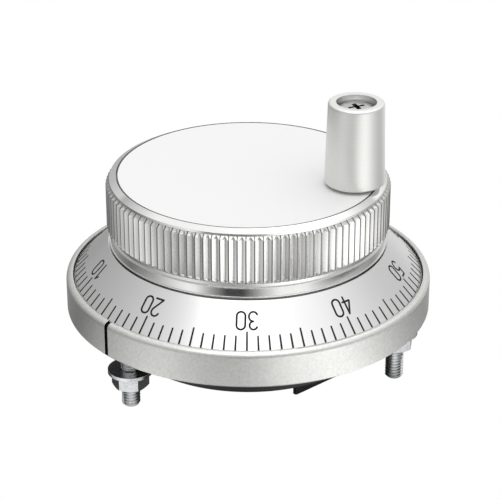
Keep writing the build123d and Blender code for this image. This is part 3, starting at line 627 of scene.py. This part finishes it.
def spin_outline(name, points, steps=64):
    """A closed turned piece from (radius, height) points, of which the first and last are on the axis."""
    turned_piece = draw_outline(name, [(radius, 0, height) for radius, height in points])
    bpy.ops.object.mode_set(mode="EDIT")
    bpy.ops.mesh.select_all(action="SELECT")
    bpy.ops.mesh.spin(steps=steps, angle=2 * pi, center=(0, 0, 0), axis=(0, 0, 1))
    bpy.ops.mesh.select_all(action="SELECT")
    bpy.ops.mesh.remove_doubles(threshold=weld)
    bpy.ops.mesh.normals_make_consistent(inside=False)
    bpy.ops.object.mode_set(mode="OBJECT")
    return turned_piece


print("points closer than", weld / mm, "mm are welded into one")


# %% Select, cut and settle a piece
def only(*chosen):
    """Select these objects alone, the first one active."""
    bpy.ops.object.select_all(action="DESELECT")
    for piece in chosen:
        piece.select_set(True)
    bpy.context.view_layer.objects.active = chosen[0]


def apply_boolean(piece, cutter, operation):
    """Cut piece with cutter, or keep what both share, and delete the cutter."""
    only(piece)
    bpy.ops.object.modifier_add(type="BOOLEAN")
    cut = piece.modifiers[-1]
    cut.operation = operation
    cut.solver = "EXACT"
    cut.object = cutter
    bpy.ops.object.modifier_apply(modifier=cut.name)
    bpy.data.objects.remove(cutter)


def settle(piece, material, body, smooth_below=30):
    """Give a finished piece its material, shading and body, with its place in its mesh."""
    only(piece)
    bpy.ops.object.transform_apply()
    piece.data.materials.clear()
    piece.data.materials.append(material)
    bpy.ops.object.shade_smooth_by_angle(angle=radians(smooth_below))
    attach(piece, body)


print("a settled piece is shaded smooth where its faces meet at less than 30 degrees")

# %% [markdown]
# ## Threaded studs
# The three studs are M4 with a 0.7 mm pitch. A bump could hint at the thread, but it shows in outline
# against the light, so it is modelled. One pitch of its section is drawn and wound up by a Screw
# modifier, which is how a thread really advances. It runs two pitches past both ends, and is sawn
# off flat there with a threshold far finer than Bisect's own 0.1 mm, so that the cuts close. A rod
# with a chamfered end then trims it, as a die's lead-in does.

# %% Thread section
pitch, stud_r = 0.7 * mm, 2.0 * mm
thread_depth = 0.6134 * pitch
thread_root_r = stud_r - thread_depth
stud_chamfer, spare, past_ends, steps_per_turn = 0.5 * mm, 0.1 * mm, 2, 20
stud_low, stud_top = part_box("mounting_studs")[0].z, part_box("mounting_studs")[1].z
stud_circle_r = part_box("mounting_studs")[1].y - stud_r
turns = int((stud_top - stud_low) / pitch) + 2 * past_ends
section = [(thread_root_r, 0), (thread_root_r, pitch / 8), (stud_r, 7 * pitch / 16),
           (stud_r, 9 * pitch / 16), (thread_root_r, 7 * pitch / 8), (thread_root_r, pitch)]
section = [(radius, 0, stud_low - past_ends * pitch + along) for radius, along in section]
lead_in = [(0, stud_low - spare / 10), (stud_r - stud_chamfer, stud_low - spare / 10),
           (stud_r + spare, stud_low + stud_chamfer + spare), (stud_r + spare, stud_top + spare),
           (0, stud_top + spare)]
print("the thread is", round(thread_depth / mm, 2), "mm deep and makes", turns, "turns before it is cut")

# %% Studs
cleanly = {"use_fill": True, "clear_outer": True, "threshold": 0.0001 * mm}
for number, stud_bearing in enumerate((90, 210, 330), 1):
    stud = draw_outline(f"stud_{number}", section)
    only(stud)
    bpy.ops.object.modifier_add(type="SCREW")
    wind = stud.modifiers[-1]
    wind.screw_offset = pitch
    wind.iterations = turns
    wind.steps = wind.render_steps = steps_per_turn
    wind.use_merge_vertices = True
    bpy.ops.object.modifier_apply(modifier=wind.name)
    bpy.ops.object.mode_set(mode="EDIT")
    bpy.ops.mesh.select_all(action="SELECT")
    bpy.ops.mesh.remove_doubles(threshold=2 * weld)
    bpy.ops.mesh.bisect(plane_co=(0, 0, stud_top), plane_no=(0, 0, 1), **cleanly)
    bpy.ops.mesh.select_all(action="SELECT")
    bpy.ops.mesh.bisect(plane_co=(0, 0, stud_low), plane_no=(0, 0, -1), **cleanly)
    bpy.ops.mesh.select_all(action="SELECT")
    bpy.ops.mesh.normals_make_consistent(inside=False)
    bpy.ops.object.mode_set(mode="OBJECT")
    apply_boolean(stud, spin_outline("die", lead_in, steps=2 * steps_per_turn), "INTERSECT")
    turned_by = radians(stud_bearing)
    stud.location = (stud_circle_r * cos(turned_by), stud_circle_r * sin(turned_by), 0)
    settle(stud, finishes["steel"], "base", smooth_below=25)
    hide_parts("mounting_studs")
    print(stud.name, len(stud.data.polygons), "faces", [round(x / mm, 2) for x in stud.dimensions])

# %% [markdown]
# ## The handle's screw
# An M4 pan-head machine screw holds the handle. Its dome stands 3.1 mm over its seat, half a
# millimetre more than the plain solid's flat head. A squashed sphere would be quicker, but a pan head
# is nearly flat on top and rounded only at its edge, so its outline is turned. The cross recess is
# cut by two crossing wedges, which taper as a cross-point driver does.

# %% Handle screw
screw_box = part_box("handle_screw")
screw_x, screw_y = (screw_box[0].x + screw_box[1].x) / 2, (screw_box[0].y + screw_box[1].y) / 2
head_r = (screw_box[1].x - screw_box[0].x) / 2
head_height, plain_head = 3.1 * mm, 2.6 * mm
shank_r, tip_chamfer, edge_break = 2.0 * mm, 0.3 * mm, 0.1 * mm
head_low, screw_tip = screw_box[1].z - plain_head, screw_box[0].z
head_top = head_low + head_height
# each point of the dome is a share of the head's radius, and of its height down from the top
dome = [(0.7, 0.0), (0.84, 0.03), (0.93, 0.09), (0.98, 0.2), (1.0, 0.35), (1.0, 0.8)]
outline = [(0, screw_tip), (shank_r - tip_chamfer, screw_tip), (shank_r, screw_tip + tip_chamfer),
           (shank_r, head_low), (head_r - edge_break, head_low), (head_r, head_low + edge_break)]
outline += [(head_r * share, head_top - head_height * drop) for share, drop in reversed(dome)]
outline += [(0, head_top)]
screw = spin_outline("handle_pan_screw", outline)
print(screw.name, "head", round(2 * head_r / mm, 2), "mm across")

# %% Cross recess
recess_reach, recess_width, recess_depth = 2.6 * mm, 1.2 * mm, 1.9 * mm
wedge_foot = (0.25, 0.45, 1)
for turn_angle in (70, 160):
    bpy.ops.object.select_all(action="DESELECT")
    bpy.ops.mesh.primitive_cube_add(size=1, location=(0, 0, head_top))
    wedge = bpy.context.object
    wedge.scale = (2 * recess_reach, recess_width, 2 * recess_depth)
    wedge.rotation_euler = (0, 0, radians(turn_angle))
    bpy.ops.object.transform_apply(location=False, rotation=False)
    bpy.ops.object.mode_set(mode="EDIT")
    bpy.ops.mesh.select_all(action="DESELECT")
    bpy.ops.object.mode_set(mode="OBJECT")
    for face in wedge.data.polygons:
        face.select = face.normal.z < -0.5
    bpy.ops.object.mode_set(mode="EDIT")
    bpy.ops.transform.resize(value=wedge_foot)
    bpy.ops.object.mode_set(mode="OBJECT")
    bpy.ops.object.transform_apply()
    apply_boolean(screw, wedge, "DIFFERENCE")
screw.location = (screw_x, screw_y, 0)
settle(screw, finishes["steel"], "wheel", smooth_below=35)
# The cuts leave the same faces in a different order each run, so the faces are sorted.
bpy.ops.object.mode_set(mode="EDIT")
bpy.ops.mesh.select_all(action="SELECT")
bpy.ops.mesh.sort_elements(type="CURSOR_DISTANCE", elements={"VERT", "EDGE", "FACE"})
bpy.ops.object.mode_set(mode="OBJECT")
# The cross recess's faces take the dark black-oxide finish: painted shade in the recess.
screw.data.materials.append(finishes["dark_steel"])
recess_low, recess_top, recess_r = head_top - recess_depth, head_top - 0.02 * mm, 0.7 * head_r
for face in screw.data.polygons:
    off_middle = hypot(face.center.x - screw_x, face.center.y - screw_y)
    if recess_low < face.center.z < recess_top and off_middle < recess_r:
        face.material_index = 1
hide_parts("handle_screw")
print(screw.name, len(screw.data.polygons), "faces")

# %% [markdown]
# ## The dial's lines
# A hundred lines divide one turn, a longer one at every fifth. They are engraved and filled with
# black enamel. They could be painted by the dial's material, but an edge drawn by a mesh stays sharp
# from near by. Each is a flat bar with round ends that lies along the cone, modelled once and copied
# round the axis by Spin.

# %% Enamel
enamel, tree, shader, place = new_finish("black engraving enamel")
film = add_node(tree, "TexNoise", {"Vector": place, "Scale": 1 / (0.3 * mm)})
set_inputs(tree, shader, {
    "Base Color": linear("#19191A"),
    "IOR": 1.5,
    "Specular IOR Level": 0.25,
    "Roughness": add_node(tree, "MapRange", {"Value": film, "To Min": 0.5, "To Max": 0.65}),
})
print(enamel.name, len(tree.nodes), "nodes")

# %% The cone's measures
# The cone falls 7.95 mm over a run of 7.65 mm, down to its edge 7.3 mm above the panel. The dial is
# turned so that its 0 stands 29.64 degrees round the axis.
dial_edge_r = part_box("dial_ring")[1].x
cone_run, cone_drop, cone_edge_z = 7.65 * mm, 7.95 * mm, 7.3 * mm
slant = hypot(cone_run, cone_drop)
outward, downward = cone_run / slant, cone_drop / slant
first_line, line_count, fifths = 29.64, 100, 5


def on_cone(angle, down_slant, proud=0.0):
    """The frame of a point on the dial: x goes clockwise seen from above, y down the slant, z out of it."""
    turn_to = radians(angle)
    radial = Vector((cos(turn_to), sin(turn_to), 0))
    clockwise = Vector((sin(turn_to), -cos(turn_to), 0))
    up = outward * radial + Vector((0, 0, -downward))
    out = downward * radial + Vector((0, 0, outward))
    top_edge = (dial_edge_r - cone_run) * radial + Vector((0, 0, cone_edge_z + cone_drop))
    at = top_edge + down_slant * up + proud * out
    return Matrix([(*row,) for row in zip(clockwise, up, out, at)] + [(0, 0, 0, 1)])


print("the cone is", round(slant / mm, 2), "mm down its slant")

# %% Lines
line_width, line_thick, line_end = 0.42 * mm, 0.04 * mm, 10.75 * mm


def dial_line(name, length, angle):
    """One flat bar with round ends, whose outer end is at line_end down the slant."""
    bpy.ops.object.select_all(action="DESELECT")
    bpy.ops.mesh.primitive_cylinder_add(vertices=12, radius=line_width / 2, depth=line_thick)
    bar = bpy.context.object
    bar.name = name
    straight = (length - line_width) / 2
    bpy.ops.object.mode_set(mode="EDIT")
    for way in (1, -1):
        bpy.ops.mesh.select_all(action="SELECT")
        bpy.ops.mesh.bisect(plane_co=(0, 0, 0), plane_no=(0, 1, 0))
        bpy.ops.object.mode_set(mode="OBJECT")
        for vertex in bar.data.vertices:
            vertex.select = vertex.co.y * way > weld
        bpy.ops.object.mode_set(mode="EDIT")
        bpy.ops.transform.translate(value=(0, way * straight, 0))
    bpy.ops.object.mode_set(mode="OBJECT")
    bar.matrix_world = on_cone(angle, line_end - length / 2)
    bpy.ops.object.transform_apply()
    return bar


def copy_round(piece, copies, step):
    """Copies of a piece about the dial's axis, a step in degrees apart."""
    only(piece)
    bpy.ops.object.mode_set(mode="EDIT")
    bpy.ops.mesh.select_all(action="SELECT")
    whole = radians(step * (copies - 1))
    bpy.ops.mesh.spin(steps=copies - 1, dupli=True, angle=whole, center=(0, 0, 0), axis=(0, 0, 1))
    bpy.ops.object.mode_set(mode="OBJECT")


one_line = 360 / line_count
long_length, short_length = 4.2 * mm, 3.3 * mm
long_lines = dial_line("long_dial_lines", long_length, first_line)
copy_round(long_lines, line_count // fifths, fifths * one_line)
short_lines = dial_line("short_dial_lines", short_length, first_line + one_line)
copy_round(short_lines, fifths - 1, -one_line)
copy_round(short_lines, line_count // fifths, fifths * one_line)
for lines in (long_lines, short_lines):
    settle(lines, enamel, "wheel")
    print(lines.name, len(lines.data.polygons), "faces", [round(x / mm, 2) for x in lines.dimensions])

# %% [markdown]
# ## The dial's numbers
# The numbers 0 to 90 are cut with a round cutter, so each stroke is as wide as the next and ends in
# a half circle. A font's letters swell and narrow, so each digit is a few strokes on a curve with a
# round bevel instead, and a stroke's end gets three more points whose radius shrinks, which rounds
# it. The caps that close a stroke come loose from the curve, so they are merged with it. Every digit
# lies flat on the cone at its own angle and reads from the rim's side.

# %% Digit strokes
# The middle of a stroke stays in a box w wide and h high. A stroke is a list of points in that box,
# counted from its lower left corner, and an arc is given by its middle, its half width and half
# height, and the degrees where it starts and ends.
digit_width, digit_height, stroke = 2.2 * mm, 4.2 * mm, 0.42 * mm
w, h = digit_width - stroke, digit_height - stroke


def arc(middle, reach, start, end, steps=12):
    """Points on an ellipse's arc about middle, from start to end in degrees."""
    angles = [radians(start + (end - start) * step / steps) for step in range(steps + 1)]
    return [(middle[0] + reach[0] * cos(a), middle[1] + reach[1] * sin(a)) for a in angles]


def half_turned(strokes):
    """The strokes turned by half a turn about the digit's middle."""
    return [[(w - x, h - y) for x, y in points] for points in strokes]


bowl = 0.31 * h
six = [arc((w / 2, bowl), (w / 2, bowl), 180, 540, 24),
       arc((1.04 * w, bowl), (1.04 * w, h - bowl), 180, 100)]
top_half = arc((w / 2, h - w / 2), (w / 2, w / 2), 0, 180)
bottom_half = arc((w / 2, w / 2), (w / 2, w / 2), 180, 360)
three_top = arc((0.48 * w, 0.77 * h), (0.45 * w, 0.23 * h), 155, -90)
three_bottom = arc((0.48 * w, 0.27 * h), (0.5 * w, 0.27 * h), 90, -155)
five_bowl = arc((0.48 * w, 0.32 * h), (0.5 * w, 0.32 * h), 128, -155)
eight_top = arc((w / 2, 0.765 * h), (0.43 * w, 0.235 * h), -90, 270, 24)
eight_bottom = arc((w / 2, 0.265 * h), (w / 2, 0.265 * h), -90, 270, 24)
digits = {
    "0": [top_half + bottom_half + [(w, h - w / 2)]],
    "1": [[(0.2 * w, 0.78 * h), (0.6 * w, h)], [(0.6 * w, h), (0.6 * w, 0)]],
    "2": [arc((w / 2, 0.75 * h), (w / 2, h / 4), 165, -35) + [(0, 0)], [(0, 0), (w, 0)]],
    "3": [three_top, three_bottom],
    "4": [[(0.7 * w, 0), (0.7 * w, h)], [(0.7 * w, h), (0, 0.28 * h)], [(0, 0.28 * h), (w, 0.28 * h)]],
    "5": [[(0.92 * w, h), (0.14 * w, h)], [(0.14 * w, h), (0.06 * w, 0.56 * h)], five_bowl],
    "6": six,
    "7": [[(0, h), (w, h)], [(w, h), (0.32 * w, 0)]],
    "8": [eight_top, eight_bottom],
    "9": half_turned(six),
}
print(sum(len(strokes) for strokes in digits.values()), "strokes in", len(digits), "digits")


# %% Cut a digit
# Three points round a stroke's end stop just short of 90 degrees, where the radius would be nothing.
end_angles = (30, 60, 88)
digit_middle, digit_thin, digit_proud = 4.3 * mm, 0.16, 0.005 * mm


def rounded_ends(points):
    """The stroke's points with the radius of each, shrinking past both ends."""
    ends = []
    for tip, inner in ((points[0], points[1]), (points[-1], points[-2])):
        run = hypot(tip[0] - inner[0], tip[1] - inner[1])
        way = ((tip[0] - inner[0]) / run, (tip[1] - inner[1]) / run)
        past = [(stroke / 2 * sin(radians(a)), cos(radians(a))) for a in end_angles]
        ends.append([(tip[0] + away * way[0], tip[1] + away * way[1], size) for away, size in past])
    return ends[0][::-1] + [(x, y, 1.0) for x, y in points] + ends[1]


def cut_digit(digit, number, angle):
    """One digit as a thin mesh that lies on the cone at an angle."""
    curve = bpy.data.curves.new(f"digit {digit} of {number}", "CURVE")
    curve.dimensions = "3D"
    curve.bevel_depth = stroke / 2
    curve.bevel_resolution = 2
    curve.use_fill_caps = True
    for points in digits[digit]:
        line = curve.splines.new("POLY")
        placed = rounded_ends(points)
        line.points.add(len(placed) - 1)
        for point, (x, y, size) in zip(line.points, placed):
            point.co = (x - w / 2, y - h / 2, 0, 1)
            point.radius = size
    glyph = bpy.data.objects.new(curve.name, curve)
    bpy.context.scene.collection.objects.link(glyph)
    only(glyph)
    bpy.ops.object.convert(target="MESH")
    glyph = bpy.context.object
    bpy.ops.object.mode_set(mode="EDIT")
    bpy.ops.mesh.select_all(action="SELECT")
    bpy.ops.mesh.remove_doubles(threshold=weld)
    bpy.ops.mesh.normals_make_consistent(inside=False)
    bpy.ops.object.mode_set(mode="OBJECT")
    glyph.scale = (1, 1, digit_thin)
    bpy.ops.object.transform_apply()
    glyph.matrix_world = on_cone(angle, digit_middle, digit_proud)
    bpy.ops.object.transform_apply()
    return glyph


print("each end of a stroke gets", len(end_angles), "more points")

# %% Numbers
digit_pitch = 2.5 * mm
digit_turn = 180 / pi * digit_pitch / (dial_edge_r - cone_run + outward * digit_middle)
for tens in range(10):
    text = str(10 * tens)
    middle = first_line + 10 * one_line * tens
    glyphs = []
    for place_in, digit in enumerate(text):
        glyphs.append(cut_digit(digit, text, middle + ((len(text) - 1) / 2 - place_in) * digit_turn))
    only(*glyphs)
    if len(glyphs) > 1:
        bpy.ops.object.join()
    number_piece = bpy.context.object
    number_piece.name = f"number_{text}"
    settle(number_piece, enamel, "wheel", smooth_below=60)
print("numbers are", round(digit_turn, 2), "degrees from digit to digit")
